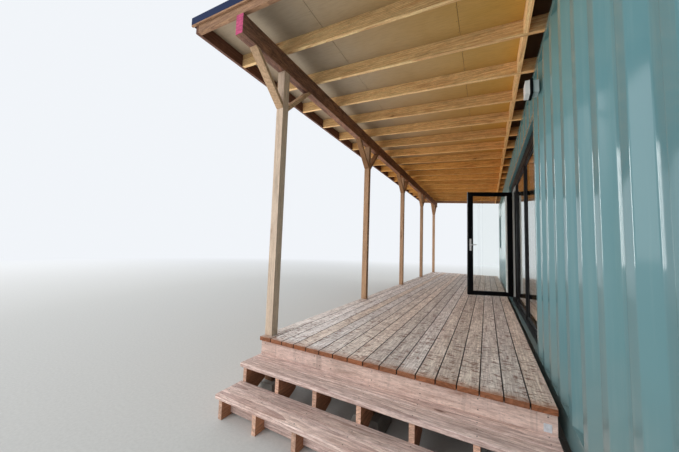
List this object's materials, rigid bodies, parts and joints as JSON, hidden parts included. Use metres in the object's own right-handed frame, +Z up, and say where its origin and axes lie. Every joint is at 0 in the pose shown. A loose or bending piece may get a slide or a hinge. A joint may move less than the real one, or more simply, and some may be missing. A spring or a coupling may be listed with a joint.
{
  "type": "shipping container cabin with a timber veranda",
  "caption": "Lined steel shipping container on piers with a glazed side and hinged glass door, timber deck, steps, posts and a single pitch roof over both.",
  "frame": {"origin": "ground level, at the middle of the building's footprint", "axes": "+Y along the container away from its cargo doors and the steps, +Z up, +X from the veranda's eave to the container's back"},
  "size_m": [5.81, 12.737, 3.7517],
  "materials": {
    "deck_wood": "weathered pinkish grey-brown boards, nailed",
    "step_wood": "pinkish tan softwood, worn nosings",
    "frame_wood": "rough sawn softwood",
    "post_wood": "pinkish tan softwood",
    "rafter_wood": "golden pine with knots",
    "dark_wood": "dark stained softwood",
    "ceiling_board": "olive painted sheathing boards",
    "navy_metal": "navy pre-painted roofing sheet",
    "green_paint": "semi-gloss sage green paint on corrugated steel",
    "zinc_steel": "galvanised steel",
    "floor_ply": "plywood floor",
    "concrete": "cast concrete",
    "white_board": "white painted lining board",
    "black_frame": "black powder coat",
    "clear_glass": "clear glass with a slight green tint",
    "satin_metal": "satin steel",
    "lamp_body": "light grey case, dark rim, white diffuser"
  },
  "bodies": {
    "cabin": {"deck_boards": "deck_wood", "deck_joists": "frame_wood", "deck_rim": "step_wood", "deck_bearers": "frame_wood", "deck_stubs": "frame_wood", "pier_blocks": "concrete", "upper_tread": "step_wood", "lower_tread": "step_wood", "step_stringers": "step_wood", "step_rail": "step_wood", "roof_posts": "post_wood", "knee_braces": "post_wood", "roof_beam": "dark_wood", "rafters": "rafter_wood", "roof_blocking": "rafter_wood", "eave_boards": "dark_wood", "barge_rafters": "post_wood", "barge_strips": "post_wood", "roof_sheathing": "ceiling_board", "roof_covering": "navy_metal", "roof_trim": "navy_metal", "roof_plates": "rafter_wood", "side_wall_near": "green_paint", "side_wall_header": "green_paint", "side_wall_far": "green_paint", "back_wall": "green_paint", "end_wall": "green_paint", "cargo_door_left": "green_paint", "cargo_door_right": "green_paint", "cargo_hinges": "green_paint", "locking_bars": "zinc_steel", "container_roof": "green_paint", "container_floor": "floor_ply", "top_rails": "green_paint", "bottom_rails": "green_paint", "cross_members": "green_paint", "door_end_frame": "green_paint", "blind_end_frame": "green_paint", "corner_castings": "green_paint", "container_piers": "concrete", "opening_frames": "green_paint", "lining_front": "white_board", "lining_back": "white_board", "lining_ends": "white_board", "ceiling_lining": "white_board", "glazing_frame": "black_frame", "fixed_lights": "black_frame", "light_glass": "clear_glass", "door_hinges": "black_frame", "window_frame": "black_frame", "window_glass": "clear_glass", "wall_light": "lamp_body"},
    "glass_door": {"door_leaf": "black_frame", "door_glass": "clear_glass", "door_handle": "satin_metal"}
  },
  "joints": [
    {"name": "glass_door_hinge", "type": "hinge", "parent": "cabin", "child": "glass_door", "pos_m": [0.198, 0.3104, 0.575], "axis": [0, 0, 1], "range_deg": [-40, 68]}
  ]
}
